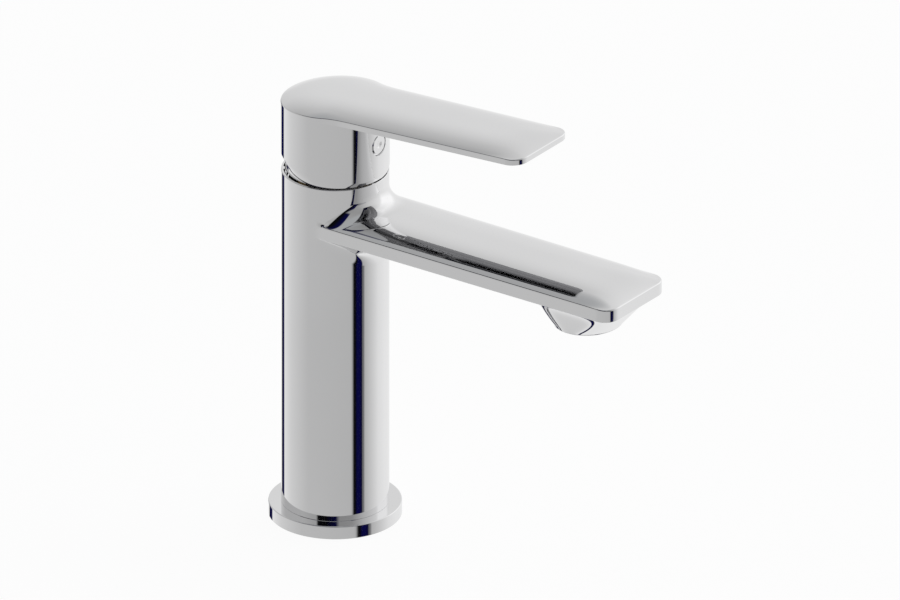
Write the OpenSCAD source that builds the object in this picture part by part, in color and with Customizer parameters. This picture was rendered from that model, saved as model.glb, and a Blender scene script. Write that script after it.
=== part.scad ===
// Single-lever basin mixer with a one-piece spout body and a ceramic cartridge.
// The origin is on the body's axis in the plane of the deck, +Z up, spout along +X.
// Millimetres.

/* [Body column] */
// Outer radius of the body column
body_r = 20.25; // [19.6:0.05:22]
// Height of the body's open rim above the deck
body_top = 141.8; // [136:0.1:160]
// Depth of the open counterbore in the rim that the handle's neck tilts into
rim_depth = 6.4; // [6.2:0.1:8]
// Wall of the rim outside the counterbore
rim_wall = 1.35; // [1.2:0.05:1.8]
// Chamfer on the inner corner of the rim
rim_chamfer = 0.5; // [0.3:0.05:0.8]
// Chamfer at the foot of the column
foot_chamfer = 0.8; // [0.3:0.1:1.2]
// Radius of the spigot that enters the base ring
spigot_r = 17.5; // [16.6:0.1:18]
// Height of the body's underside above the deck
underside_z = 1.2; // [0.6:0.1:2.5]

/* [Spout] */
// Distance from the body's axis to the spout's tip
spout_reach = 139; // [134:0.5:170]
// How much narrower each side of the spout is than the body
spout_inset = 0.45; // [0.25:0.05:0.8]
// How much narrower each side of the spout is at its tip than at its root
spout_taper = 0.7; // [0.2:0.05:1.2]
// Height of the spout's flat underside
spout_under_z = 121.7; // [118:0.1:124]
// Thickness of the spout at its edge
spout_edge_t = 5.2; // [4.6:0.1:6]
// Rise of the spout's crowned top above its edge
spout_crown = 3.6; // [2:0.1:4]
// Length over which the crown falls away to the spout's tip
spout_crown_run = 26; // [18:1:40]
// Corner radius of the tip, seen from above
spout_corner_r = 6; // [4:0.5:9]
// Fillet between the column and the spout's top
top_fillet_r = 7; // [4:0.5:9]
// Fillet between the column and the spout's underside
under_fillet_r = 5; // [3:0.5:7]

/* [Outlet] */
// Distance from the body's axis to the aerator's axis
outlet_x = 116; // [112:0.5:118]
// Height of the outlet's face above the deck
outlet_z = 110.2; // [108:0.1:112]
// Half length of the nozzle's mouth along the spout
nozzle_half_l = 13.4; // [13.2:0.1:14.5]
// Half width of the nozzle's mouth across the spout
nozzle_half_w = 14.2; // [13.2:0.1:16]
// Radius of the threaded bore that the aerator screws into
aerator_bore_r = 12.0; // [11.4:0.1:12.2]
// Depth of the aerator's bore
aerator_bore_depth = 10.6; // [10.2:0.1:12]

/* [Waterways] */
// Radius of the drilled inlet ways
inlet_way_r = 3.5; // [2.5:0.1:4]
// Radius of the wall of each inlet thread, M10 x 1
inlet_thread_r = 4.5; // [4.3:0.1:5]
// Depth of each inlet thread
inlet_thread_depth = 12; // [8:0.5:16]
// Half of the distance between the two inlets
inlet_half_gap = 8; // [7.5:0.1:9]
// Distance of both inlets in front of the axis
inlet_x = 4; // [2:0.5:5]
// Radius of the wall of the stud's thread, M6
stud_thread_r = 2.5; // [2:0.1:3.4]
// Depth of the stud's thread
stud_thread_depth = 14; // [10:0.5:25]
// Distance of the stud's hole behind the axis
stud_back = 9.5; // [8.5:0.5:11]
// Radius of the way that rises in front of the cartridge
riser_r = 2.6; // [2:0.1:2.8]
// Width of the water channel inside the spout
channel_w = 22; // [12:1:26]
// Height of the water channel inside the spout
channel_h = 3; // [2:0.1:3.2]
// Metal below the water channel
channel_floor = 1.7; // [1.5:0.1:2]

/* [Base] */
// Outer radius of the base ring
ring_r = 25; // [23.5:0.5:30]
// Height of the base ring
ring_h = 5.3; // [4.5:0.1:8]
// Chamfer on the base ring's upper edge
ring_chamfer = 1; // [0.5:0.1:1.5]
// Radial clearance between the ring and the spigot
ring_gap = 0.3; // [0.2:0.05:0.4]
// Section diameter of the O-ring that centres the base ring
ring_cord_d = 1.6; // [1.4:0.1:1.8]
// Width of the foot seal in the base ring's underside
foot_seal_w = 3; // [2:0.1:3.2]
// Thickness of the foot seal
foot_seal_t = 1.8; // [1.2:0.1:2.4]

/* [Cartridge] */
// Outer radius of the cartridge's barrel
barrel_r = 12.5; // [12.2:0.05:12.8]
// Outer radius of the cartridge's collar above the nut
collar_r = 10.9; // [10.7:0.05:11]
// Wall of the cartridge's housing
housing_wall = 1.4; // [1.2:0.05:1.5]
// Height of the housing above the lever's pivot
housing_above_pivot = 3; // [2.8:0.1:3.2]
// Height of the lever's pivot above the body's rim
pivot_above_rim = 5.2; // [5:0.1:5.4]
// Distance from the pivot down to the ball that drives the disc
drive_arm = 10; // [9.6:0.1:10.2]
// Greatest lift of the lever, in degrees
lift_max = 20; // [15:0.5:20]
// Thickness of the fixed ceramic disc
fixed_disc_t = 2.5; // [2:0.1:3.5]
// Thickness of the moving ceramic disc
moving_disc_t = 2.2; // [1.8:0.1:3]
// Radius of the moving ceramic disc
moving_disc_r = 7.4; // [7:0.1:8]
// Thickness of the cartridge's base plate
base_plate_t = 3.2; // [2.8:0.1:4]
// Radius of the port holes through the base plate and the fixed disc
port_r = 2.2; // [1.8:0.1:2.4]
// Thickness of the retaining nut
nut_h = 4.8; // [4:0.1:6]
// Radius of the nut's thread, M28 x 1
nut_r = 13.9; // [13.6:0.1:14.2]
// Thickness of the slip washer under the nut
slip_t = 0.6; // [0.4:0.1:1]

/* [Stem] */
// Side of the stem's square head
stem_w = 7; // [6.6:0.1:7.2]
// Height of the stem's top above the pivot
stem_above_pivot = 19; // [17:0.5:19.5]
// Radius of the stem's ball
ball_r = 2.2; // [2:0.05:2.3]
// Radius of the pivot pin
pin_r = 1.5; // [1.2:0.05:1.8]

/* [Handle] */
// How far the handle's head stands proud of the body
head_proud = 0.2; // [0.05:0.05:0.4]
// Wall of the handle's neck
neck_wall = 2; // [1.8:0.1:2.4]
// Height of the lever's upper edge at the body's axis
lever_edge_z = 171.1; // [170:0.1:173]
// Slope of the lever, in degrees
lever_slope = 3.43; // [2:0.05:5]
// Distance from the axis to the lever's tip
lever_reach = 96; // [85:0.5:110]
// How much narrower each side of the lever is than the head
lever_inset = 2.35; // [1.9:0.05:3]
// How much narrower each side of the lever is at its tip than at its root
lever_taper = 0.8; // [0.1:0.05:2]
// Thickness of the lever at its edge
lever_edge_t = 2.35; // [2:0.05:4]
// Rise of the lever's crowned top above its edge
lever_crown = 2.6; // [1.5:0.1:3.2]
// Length over which the crown falls away to the lever's tip
lever_crown_run = 22; // [15:1:35]
// Corner radius of the lever's tip, seen from above
lever_corner_r = 6; // [3:0.5:8]
// Height of the outer wall's lower edge above the rim, at the axis
skirt_z = 5.2; // [4.8:0.1:5.6]
// Slope of the outer wall's lower edge, in degrees, lower at the front
skirt_slope = 9; // [8:0.25:10]
// Height of the chamfer between the outer wall and the neck
skirt_chamfer_h = 3.9; // [3.4:0.1:4.4]
// Height of the index button above the rim
button_z = 15.1; // [14.8:0.1:15.6]
// Radius of the index button
button_r = 4.35; // [3.6:0.05:4.6]
// Radius of the set screw, M5
screw_r = 2.45; // [1.9:0.05:2.6]
// Length of the set screw
screw_l = 8; // [6:0.5:10]

/* [Clearances] */
// Gap between the neck and the rim, and between other faces that pass each other
pass_gap = 0.3; // [0.25:0.05:0.35]
// Radial clearance of screwed and bushed pieces
fit_gap = 0.08; // [0.05:0.01:0.1]
// Radial clearance of the pivot pin in the stem
pin_gap = 0.05; // [0.03:0.01:0.08]

/* [Hidden] */
$fn = 96;
eps = 0.01;

// Small fixed gaps and angles
disc_top_gap = 0.2;
seal_proud = 0.1;
fillet_bite = 0.12;
crown_lift = 0.3;
way_drop = 5;

// Heights, from the rim down
rim_floor_z = body_top - rim_depth;
nut_z = rim_floor_z - nut_h;
shoulder_z = nut_z - slip_t;
moving_top_z = shoulder_z - housing_wall - disc_top_gap;
moving_z = moving_top_z - moving_disc_t;
fixed_z = moving_z - fixed_disc_t;
plate_top_z = fixed_z - seal_proud;
plate_z = plate_top_z - base_plate_t;
seat_z = plate_z - pass_gap;

// Heights, from the rim up
neck_z = body_top + pass_gap;
pivot_z = body_top + pivot_above_rim;
ball_z = pivot_z - drive_arm;
housing_top_z = pivot_z + housing_above_pivot;
rotor_top_z = housing_top_z + pass_gap;
boss_z = rotor_top_z + 3.2;
screw_z = body_top + button_z;
stem_top_z = pivot_z + stem_above_pivot;
hollow_top_z = screw_z + screw_r + 1.2;

// Radii and travels
rim_bore_r = body_r - rim_wall;
neck_r = rim_bore_r - pass_gap;
hollow_r = neck_r - neck_wall;
head_r = body_r + head_proud;
spout_half_w = body_r - spout_inset;
spout_tip_half_w = spout_half_w - spout_taper;
lever_half_w = head_r - lever_inset;
lever_tip_half_w = lever_half_w - lever_taper;
barrel_bore_r = barrel_r + 2 * fit_gap;
nut_bore_r = nut_r + fit_gap;
barrel_in_r = barrel_r - housing_wall;
collar_in_r = collar_r - housing_wall;
disc_travel = drive_arm * lift_max * PI / 180;
disc_rest_x = -disc_travel / 2;
socket_r = ball_r + 0.15;
carrier_boss_r = socket_r + 1.25;
carrier_plate_t = 2.4;
carrier_boss_top = ball_z + 1;
rotor_z = moving_top_z + carrier_plate_t + pass_gap;
rotor_r = collar_in_r - fit_gap;
rotor_neck_r = rotor_r - 1.3;
lip_t = housing_above_pivot - pin_r - 0.35;
slot_x = max(disc_travel + ball_r + 0.1, stem_w / 2 + 1.8);
spout_edge_z = spout_under_z + spout_edge_t;
channel_z = spout_under_z + channel_floor;
riser_x = (barrel_bore_r + body_r) / 2 - 0.1;
port_x = 5.4;
inlet_port_x = -3.2;
inlet_port_y = 5.2;
seal_cord = 1.2;
way_turn_z = seat_z - way_drop;
aerator_r = aerator_bore_r - fit_gap;
aerator_top_z = outlet_z + aerator_bore_depth;
aerator_wall = 1.5;

// Radius of a circle whose arc rises by "rise" over half a chord "half"
function crown_r(half, rise) = (half * half + rise * rise) / (2 * rise);

// Points of a quarter arc of radius r round (cx, cy), from angle a0 to a1
function arc_points(cx, cy, r, a0, a1, steps = 8) =
    [for (i = [0:steps]) [cx + r * cos(a0 + (a1 - a0) * i / steps), cy + r * sin(a0 + (a1 - a0) * i / steps)]];

function mirrored(points) = [for (i = [len(points) - 1:-1:0]) [points[i][0], -points[i][1]]];

function smooth(t) = t * t * (3 - 2 * t);

// Half width of the spout and of the lever at distance x from the axis
function spout_w(x) = spout_half_w + (spout_tip_half_w - spout_half_w) * x / spout_reach;
function lever_w(x) = lever_half_w + (lever_tip_half_w - lever_half_w) * x / lever_reach;

// Half width of the handle's outline: the head's circle runs into the lever's side
head_leave_x = head_r * 0.3;
side_join_x = head_r * 0.85;
function head_w(x) = sqrt(max(0, head_r * head_r - x * x));
function outline_w(x) = x <= head_leave_x ? head_w(x)
    : x >= side_join_x ? lever_w(x)
    : let (t = (x - head_leave_x) / (side_join_x - head_leave_x))
        head_w(x) * (1 - smooth(t)) + lever_w(x) * smooth(t);

// Points of a superellipse with half axes a and b
function super_points(cx, a, b, power = 2.8, steps = 32) =
    [for (i = [0:steps - 1]) let (c = cos(360 * i / steps), s = sin(360 * i / steps))
        [cx + a * sign(c) * pow(abs(c), 2 / power), b * sign(s) * pow(abs(s), 2 / power)]];

module tube(r_out, r_in, h) {
    difference() {
        cylinder(r = r_out, h = h);
        translate([0, 0, -eps]) cylinder(r = r_in, h = h + 2 * eps);
    }
}

module o_ring(ring_radius, cord_d) {
    rotate_extrude() translate([ring_radius, 0]) circle(d = cord_d, $fn = 32);
}

// A solid below a ridge along X that falls away at "reach" over "run"
module below_ridge(half, rise, reach, run) {
    along_r = crown_r(run, rise + crown_lift);
    depth = 10 * half;
    translate([reach - run, 0, rise + crown_lift - along_r]) rotate([90, 0, 0])
        cylinder(r = along_r, h = 4 * half, center = true, $fn = 360);
    translate([-20 * half, -2 * half, -depth]) cube([20 * half + reach - run, 4 * half, 2 * depth]);
}

// A solid below a crowned surface: an arc across X whose ridge falls away to the tip, and also to the
// rear where "behind" says how far back the piece reaches
module below_crown(z, slope, half, rise, reach, run, behind = 0) {
    across_r = crown_r(half, rise);
    translate([0, 0, z]) rotate([0, -slope, 0]) intersection() {
        translate([0, 0, rise - across_r]) rotate([0, 90, 0])
            cylinder(r = across_r, h = 4 * reach, center = true, $fn = 360);
        below_ridge(half, rise, reach, run);
        if (behind > 0) mirror([1, 0, 0]) below_ridge(half, rise, behind, run);
    }
}

// ---------------------------------------------------------------- body

module spout_outline() {
    side = [[0, spout_w(0)], [spout_reach - spout_corner_r, spout_tip_half_w]];
    corner = arc_points(spout_reach - spout_corner_r, spout_tip_half_w - spout_corner_r, spout_corner_r, 90, 0);
    half = concat([side[0]], corner);
    polygon(concat(half, mirrored(half)));
}

module spout_slab() {
    intersection() {
        translate([0, 0, spout_under_z]) linear_extrude(spout_edge_t + 2 * spout_crown) spout_outline();
        below_crown(spout_edge_z, 0, spout_half_w, spout_crown, spout_reach, spout_crown_run);
    }
}

// Ring-shaped fillet between the column and a flat face at height z. It cuts into both by fillet_bite,
// so that its arc crosses them at an angle.
module column_fillet(z, r, upward) {
    span = r - fillet_bite;
    translate([0, 0, z]) mirror([0, 0, upward ? 0 : 1]) rotate_extrude() difference() {
        translate([body_r - 2, -1]) square([span + 2, span + 1]);
        translate([body_r + span, span]) circle(r = r);
    }
}

module spout_fillets() {
    intersection() {
        union() {
            column_fillet(spout_edge_z + spout_crown / 2, top_fillet_r, true);
            column_fillet(spout_under_z, under_fillet_r, false);
        }
        translate([0, -spout_half_w + 0.3, spout_under_z - 2 * under_fillet_r])
            cube([2 * body_r, 2 * spout_half_w - 0.6, spout_edge_t + 2 * under_fillet_r + 3 * top_fillet_r]);
    }
}

module nozzle_shell() {
    hull() {
        translate([0, 0, outlet_z]) linear_extrude(0.4)
            polygon(super_points(outlet_x, nozzle_half_l, nozzle_half_w));
        translate([0, 0, (outlet_z + spout_under_z) / 2]) linear_extrude(0.4)
            polygon(super_points(outlet_x + 1.5, nozzle_half_l + 3.4, nozzle_half_w + 2.8));
        translate([0, 0, spout_under_z]) linear_extrude(0.4)
            polygon(super_points((spout_reach + outlet_x - nozzle_half_l) / 2 - 0.8,
                (spout_reach - outlet_x + nozzle_half_l) / 2 - 0.8, spout_tip_half_w - 0.6, 3.6));
    }
}

module column() {
    translate([0, 0, ring_h]) cylinder(r1 = body_r - foot_chamfer, r2 = body_r, h = foot_chamfer);
    translate([0, 0, ring_h + foot_chamfer]) cylinder(r = body_r, h = body_top - ring_h - foot_chamfer);
    translate([0, 0, underside_z]) cylinder(r = spigot_r, h = ring_h);
}

// The stepped chamber for the cartridge, its nut and the handle's neck
module cartridge_chamber() {
    translate([0, 0, seat_z]) cylinder(r = barrel_bore_r, h = body_top);
    translate([0, 0, shoulder_z]) cylinder(r = nut_bore_r, h = body_top);
    translate([0, 0, rim_floor_z]) cylinder(r = rim_bore_r, h = body_top);
    translate([0, 0, body_top - rim_chamfer])
        cylinder(r1 = rim_bore_r, r2 = rim_bore_r + rim_chamfer, h = rim_chamfer + eps);
}

module inlet_ways() {
    for (side = [-1, 1]) {
        translate([inlet_x, side * inlet_half_gap, underside_z - eps])
            cylinder(r = inlet_thread_r, h = inlet_thread_depth + eps);
        translate([inlet_x, side * inlet_half_gap, underside_z])
            cylinder(r = inlet_way_r, h = way_turn_z - underside_z + inlet_way_r, $fn = 48);
        translate([inlet_port_x, side * inlet_port_y, way_turn_z - inlet_way_r])
            cylinder(r = port_r, h = seat_z - way_turn_z + inlet_way_r + 1, $fn = 48);
        translate([inlet_port_x, side * inlet_port_y, way_turn_z])
            rotate([0, 90, atan2(side * (inlet_half_gap - inlet_port_y), inlet_x - inlet_port_x)])
                cylinder(r = port_r - 0.3, h = inlet_x - inlet_port_x, $fn = 48);
    }
}

module outlet_ways() {
    translate([port_x, 0, way_turn_z]) cylinder(r = port_r, h = seat_z - way_turn_z + 1, $fn = 48);
    translate([port_x, 0, way_turn_z]) rotate([0, 90, 0]) cylinder(r = port_r - 0.3, h = riser_x - port_x, $fn = 48);
    translate([riser_x, 0, way_turn_z - port_r]) cylinder(r = riser_r, h = channel_z + channel_h - way_turn_z + port_r);
    translate([riser_x, -channel_w / 4, channel_z]) cube([body_r - riser_x + top_fillet_r, channel_w / 2, channel_h]);
    translate([body_r + 2, -channel_w / 2, channel_z]) cube([outlet_x - body_r - 2, channel_w, channel_h]);
}

module body() {
    color([0.82, 0.83, 0.85]) difference() {
        union() {
            column();
            spout_slab();
            spout_fillets();
            nozzle_shell();
        }
        cartridge_chamber();
        inlet_ways();
        outlet_ways();
        translate([-stud_back, 0, underside_z - eps]) cylinder(r = stud_thread_r, h = stud_thread_depth + eps);
        translate([outlet_x, 0, outlet_z - eps]) cylinder(r = aerator_bore_r, h = aerator_bore_depth + eps);
        translate([outlet_x, 0, outlet_z]) cylinder(r = aerator_bore_r - 3, h = channel_z + channel_h - outlet_z);
        translate([0, 0, ring_groove_z]) tube(spigot_r + 1, spigot_r - ring_groove_depth, ring_cord_d + 0.2);
        for (side = [-1, 1]) translate([peg_x, side * peg_y, seat_z - peg_h - 0.2]) cylinder(r = peg_r + 0.1, h = peg_h + 1);
    }
}

// ---------------------------------------------------------------- base

ring_bore_r = spigot_r + ring_gap;
ring_groove_z = (foot_seal_t + ring_h - ring_cord_d) / 2;
ring_groove_depth = ring_cord_d - ring_gap + 0.05;
foot_groove_r = (ring_bore_r + ring_r - foot_seal_w) / 2;

module base_ring() {
    color([0.82, 0.83, 0.85]) difference() {
        union() {
            cylinder(r = ring_r, h = ring_h - ring_chamfer);
            translate([0, 0, ring_h - ring_chamfer]) cylinder(r1 = ring_r, r2 = ring_r - ring_chamfer, h = ring_chamfer);
        }
        translate([0, 0, -eps]) cylinder(r = ring_bore_r, h = ring_h + 2 * eps);
        translate([0, 0, -eps]) tube(foot_groove_r + foot_seal_w + fit_gap, foot_groove_r - fit_gap, foot_seal_t + eps);
    }
}

module ring_o_ring() {
    color([0.1, 0.1, 0.1]) translate([0, 0, ring_groove_z + ring_cord_d / 2 + 0.1])
        o_ring(ring_bore_r - ring_cord_d / 2 - 0.02, ring_cord_d - 0.04);
}

module foot_seal() {
    color([0.1, 0.1, 0.1]) tube(foot_groove_r + foot_seal_w, foot_groove_r, foot_seal_t);
}

// ---------------------------------------------------------------- cartridge

peg_r = 1.1;
peg_h = 1.8;
peg_x = 2;
peg_y = 9;

module ports(r, h) {
    translate([port_x, 0, 0]) cylinder(r = r, h = h, $fn = 48);
    for (side = [-1, 1]) translate([inlet_port_x, side * inlet_port_y, 0]) cylinder(r = r, h = h, $fn = 48);
}

module port_rings(r_out, r_in, h) {
    difference() {
        ports(r_out, h);
        translate([0, 0, -eps]) ports(r_in, h + 2 * eps);
    }
}

module cartridge_housing() {
    color([0.9, 0.9, 0.88]) difference() {
        union() {
            translate([0, 0, plate_z]) cylinder(r = barrel_r, h = shoulder_z - plate_z);
            translate([0, 0, plate_z]) cylinder(r = collar_r, h = housing_top_z - plate_z);
        }
        translate([0, 0, plate_z - eps]) cylinder(r = barrel_in_r, h = moving_top_z + disc_top_gap - plate_z + eps);
        translate([0, 0, plate_z]) cylinder(r = collar_in_r, h = housing_top_z - lip_t - plate_z);
        translate([0, 0, plate_z]) cylinder(r = rotor_neck_r + fit_gap, h = housing_top_z);
    }
}

module cartridge_base() {
    color([0.25, 0.27, 0.3]) difference() {
        union() {
            translate([0, 0, plate_z]) cylinder(r = barrel_in_r - fit_gap, h = base_plate_t);
            for (side = [-1, 1]) translate([peg_x, side * peg_y, seat_z - peg_h]) cylinder(r = peg_r, h = peg_h + 1, $fn = 32);
        }
        translate([0, 0, plate_z - eps]) ports(port_r, base_plate_t + 2 * eps);
        translate([0, 0, plate_z - eps]) ports(port_r + seal_cord, seal_cord - pass_gap + eps);
        translate([0, 0, plate_top_z - seal_cord + seal_proud]) ports(port_r + seal_cord, seal_cord);
    }
}

module port_seals() {
    color([0.12, 0.12, 0.12]) translate([0, 0, seat_z]) port_rings(port_r + seal_cord - 0.02, port_r, seal_cord);
}

module disc_seals() {
    color([0.12, 0.12, 0.12]) translate([0, 0, fixed_z - seal_cord])
        port_rings(port_r + seal_cord - 0.02, port_r, seal_cord);
}

module fixed_disc() {
    color([0.96, 0.95, 0.92]) translate([0, 0, fixed_z]) difference() {
        cylinder(r = barrel_in_r - fit_gap, h = fixed_disc_t);
        translate([0, 0, -eps]) ports(port_r, fixed_disc_t + 2 * eps);
    }
}

// The well in its underside joins the ports as it slides and turns
module moving_disc() {
    color([0.96, 0.95, 0.92]) translate([disc_rest_x, 0, moving_z]) difference() {
        cylinder(r = moving_disc_r, h = moving_disc_t);
        translate([0, 0, -eps]) cylinder(r = moving_disc_r * 0.62, h = moving_disc_t / 2 + eps);
    }
}

module disc_carrier() {
    color([0.85, 0.85, 0.8]) difference() {
        union() {
            translate([disc_rest_x, 0, moving_top_z]) cylinder(r = moving_disc_r, h = carrier_plate_t);
            translate([0, 0, moving_top_z]) cylinder(r = carrier_boss_r, h = carrier_boss_top - moving_top_z);
        }
        translate([0, 0, ball_z - ball_r - 0.8]) cylinder(r = socket_r, h = drive_arm);
    }
}

module stem_rotor() {
    boss_gap = pass_gap - 0.05;
    slot_top = carrier_boss_top + pass_gap;
    color([0.88, 0.87, 0.82]) difference() {
        union() {
            translate([0, 0, rotor_z]) cylinder(r = rotor_r, h = housing_top_z - lip_t - fit_gap - rotor_z);
            translate([0, 0, rotor_z]) cylinder(r = rotor_neck_r, h = rotor_top_z - rotor_z);
        }
        translate([-carrier_boss_r - boss_gap, -carrier_boss_r - boss_gap, rotor_z - eps])
            cube([2 * (carrier_boss_r + boss_gap) + disc_travel, 2 * (carrier_boss_r + boss_gap), slot_top - rotor_z + eps]);
        translate([-slot_x, -stem_w / 2 - fit_gap, rotor_z]) cube([2 * slot_x, stem_w + 2 * fit_gap, drive_arm * 3]);
        translate([0, 0, pivot_z]) rotate([90, 0, 0]) cylinder(r = pin_r + 0.02, h = 4 * rotor_r, center = true);
    }
}

module pivot_pin() {
    color([0.7, 0.7, 0.72]) translate([0, 0, pivot_z]) rotate([90, 0, 0])
        cylinder(r = pin_r, h = 2 * (rotor_r - fit_gap) - 1, center = true);
}

module stem() {
    arm_r = ball_r - 0.4;
    square_z = pivot_z - stem_w / 2;
    color([0.75, 0.72, 0.6]) difference() {
        union() {
            translate([-stem_w / 2, -stem_w / 2, square_z]) cube([stem_w, stem_w, stem_top_z - square_z]);
            translate([0, 0, ball_z]) cylinder(r = arm_r, h = drive_arm, $fn = 48);
            translate([0, 0, ball_z]) sphere(r = ball_r, $fn = 48);
        }
        translate([0, 0, pivot_z]) rotate([90, 0, 0]) cylinder(r = pin_r + pin_gap, h = 2 * stem_w, center = true);
    }
}

module slip_washer() {
    color([0.85, 0.85, 0.8]) translate([0, 0, shoulder_z]) tube(barrel_r, collar_r + fit_gap, slip_t);
}

module retaining_nut() {
    notch_w = 2.2;
    color([0.8, 0.66, 0.35]) difference() {
        translate([0, 0, nut_z]) tube(nut_r, collar_r + fit_gap, nut_h);
        for (turn = [0:90:270]) rotate([0, 0, turn]) translate([collar_r, -notch_w / 2, rim_floor_z - nut_h * 0.4])
            cube([nut_r, notch_w, nut_h]);
    }
}

// ---------------------------------------------------------------- handle

// The lever's outline starts inside the head and runs out through its wall
module lever_outline() {
    tip = arc_points(lever_reach - lever_corner_r, lever_tip_half_w - lever_corner_r, lever_corner_r, 90, 0);
    root = [[0, head_r - 2], [head_leave_x, outline_w(head_leave_x) - 0.2]];
    side = [for (i = [1:8]) let (x = head_leave_x + (side_join_x - head_leave_x) * i / 8) [x, outline_w(x)]];
    half = concat(root, side, tip);
    polygon(concat(half, mirrored(half)));
}

// Everything above the skirt's sloping lower edge: a cone from the neck, then the full head
module skirt_envelope() {
    run_in = 1;
    run_out = 1.8;
    flare = (head_r - neck_r) / skirt_chamfer_h;
    cone_h = run_in + skirt_chamfer_h + run_out;
    translate([0, 0, body_top + skirt_z - skirt_chamfer_h - run_in]) rotate([0, skirt_slope, 0]) {
        cylinder(r1 = neck_r - flare * run_in, r2 = head_r + flare * run_out, h = cone_h);
        translate([0, 0, cone_h - eps]) cylinder(r = 2 * head_r, h = lever_edge_z);
    }
}

module handle_head() {
    translate([0, 0, neck_z]) cylinder(r = neck_r, h = 2 * skirt_z);
    intersection() {
        translate([0, 0, neck_z]) cylinder(r = head_r, h = lever_edge_z);
        skirt_envelope();
    }
}

module lever_slab() {
    translate([0, 0, lever_edge_z]) rotate([0, -lever_slope, 0]) translate([0, 0, -lever_edge_t])
        linear_extrude(lever_edge_t + 2 * lever_crown) lever_outline();
}

// The hollow clears the cartridge's collar as the handle tilts
module handle_hollow() {
    translate([0, 0, neck_z - 1]) cylinder(r = hollow_r, h = boss_z - neck_z + 1);
    difference() {
        translate([0, 0, boss_z - eps]) cylinder(r = hollow_r, h = hollow_top_z - boss_z);
        translate([0, 0, boss_z - 1]) cylinder(r = stem_w, h = hollow_top_z);
        translate([0, -button_r - 1, boss_z - 1]) cube([hollow_r + 2, 2 * button_r + 2, hollow_top_z]);
    }
}

module handle() {
    socket_w = stem_w + 2 * fit_gap;
    color([0.84, 0.85, 0.87]) difference() {
        intersection() {
            union() {
                handle_head();
                lever_slab();
            }
            below_crown(lever_edge_z, lever_slope, head_r, lever_crown, lever_reach, lever_crown_run, head_r);
        }
        handle_hollow();
        translate([-socket_w / 2, -socket_w / 2, boss_z - 1]) cube([socket_w, socket_w, stem_top_z - boss_z + 1 + pass_gap]);
        translate([0, 0, screw_z]) rotate([0, 90, 0]) cylinder(r = screw_r + pin_gap, h = head_r);
        translate([button_seat_x, 0, screw_z]) rotate([0, 90, 0]) cylinder(r = button_r + fit_gap, h = head_r);
    }
}

button_seat_x = head_r - 3.4;

module set_screw() {
    key_r = screw_r / 2;
    color([0.3, 0.3, 0.32]) translate([stem_w / 2 + fit_gap, 0, screw_z]) rotate([0, 90, 0]) difference() {
        cylinder(r = screw_r, h = screw_l);
        translate([0, 0, screw_l - 2.5]) cylinder(r = key_r, h = 3, $fn = 6);
    }
}

module index_button() {
    button_l = sqrt(head_r * head_r - button_r * button_r) - button_seat_x + 0.2;
    color([0.84, 0.85, 0.87]) translate([button_seat_x, 0, screw_z]) rotate([0, 90, 0]) difference() {
        union() {
            cylinder(r = button_r, h = button_l - 0.4);
            translate([0, 0, button_l - 0.4]) cylinder(r1 = button_r, r2 = button_r - 0.4, h = 0.4);
            translate([0, 0, -1.5]) cylinder(r = screw_r - 0.3, h = 2, $fn = 48);
        }
        translate([0, 0, button_l - 0.5]) cylinder(r = 0.9, h = 1, $fn = 32);
    }
}

// ---------------------------------------------------------------- aerator

seal_h = 1.5;
shell_top_z = aerator_top_z - seal_h;
regulator_h = 3;
screen_t = 0.6;
grid_h = 2.4;
shell_lip = 0.6;

module aerator_housing() {
    color([0.86, 0.87, 0.88]) difference() {
        translate([outlet_x, 0, outlet_z + pass_gap]) cylinder(r = aerator_r, h = shell_top_z - outlet_z - pass_gap);
        translate([outlet_x, 0, outlet_z + pass_gap + shell_lip]) cylinder(r = aerator_r - aerator_wall, h = aerator_bore_depth);
        translate([outlet_x, 0, outlet_z]) cylinder(r = aerator_r - aerator_wall - shell_lip, h = aerator_bore_depth);
        for (turn = [45:90:315]) translate([outlet_x, 0, outlet_z]) rotate([0, 0, turn])
            translate([aerator_r - 0.8, -1, 0]) cube([2, 2, 1.1]);
    }
}

module aerator_seal() {
    color([0.12, 0.12, 0.12]) translate([outlet_x, 0, shell_top_z])
        tube(aerator_r - 0.1, aerator_r - aerator_wall - 1.4, seal_h);
}

module grid_plate(r, h, bar, bars) {
    pitch = 2 * r / (2 * bars + 1);
    intersection() {
        cylinder(r = r, h = h);
        union() {
            tube(r + 1, r - 0.7, h);
            for (k = [-bars:bars]) {
                translate([-r, k * pitch - bar / 2, 0]) cube([2 * r, bar, h]);
                translate([k * pitch - bar / 2, -r, 0]) cube([bar, 2 * r, h]);
            }
        }
    }
}

aerator_in_r = aerator_r - aerator_wall - fit_gap;
grid_z = outlet_z + pass_gap + shell_lip;
screen_z = grid_z + grid_h;
regulator_z = screen_z + 2 * screen_t + 0.4;

module aerator_grid() {
    color([0.9, 0.9, 0.9]) translate([outlet_x, 0, grid_z]) grid_plate(aerator_in_r, grid_h, 0.5, 3);
}

module aerator_screens() {
    color([0.7, 0.7, 0.72]) for (k = [0:1]) translate([outlet_x, 0, screen_z + k * (screen_t + 0.2)])
        grid_plate(aerator_in_r, screen_t, 0.35, 2);
}

module flow_regulator() {
    color([0.3, 0.55, 0.45]) translate([outlet_x, 0, regulator_z]) difference() {
        cylinder(r = aerator_in_r, h = shell_top_z - regulator_z);
        for (turn = [0:30:330]) rotate([0, 0, turn]) translate([aerator_in_r * 0.72, 0, -eps])
            cylinder(r = 0.8, h = aerator_bore_depth, $fn = 16);
        translate([0, 0, regulator_h / 2]) cylinder(r = aerator_in_r * 0.5, h = aerator_bore_depth);
    }
}

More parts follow.
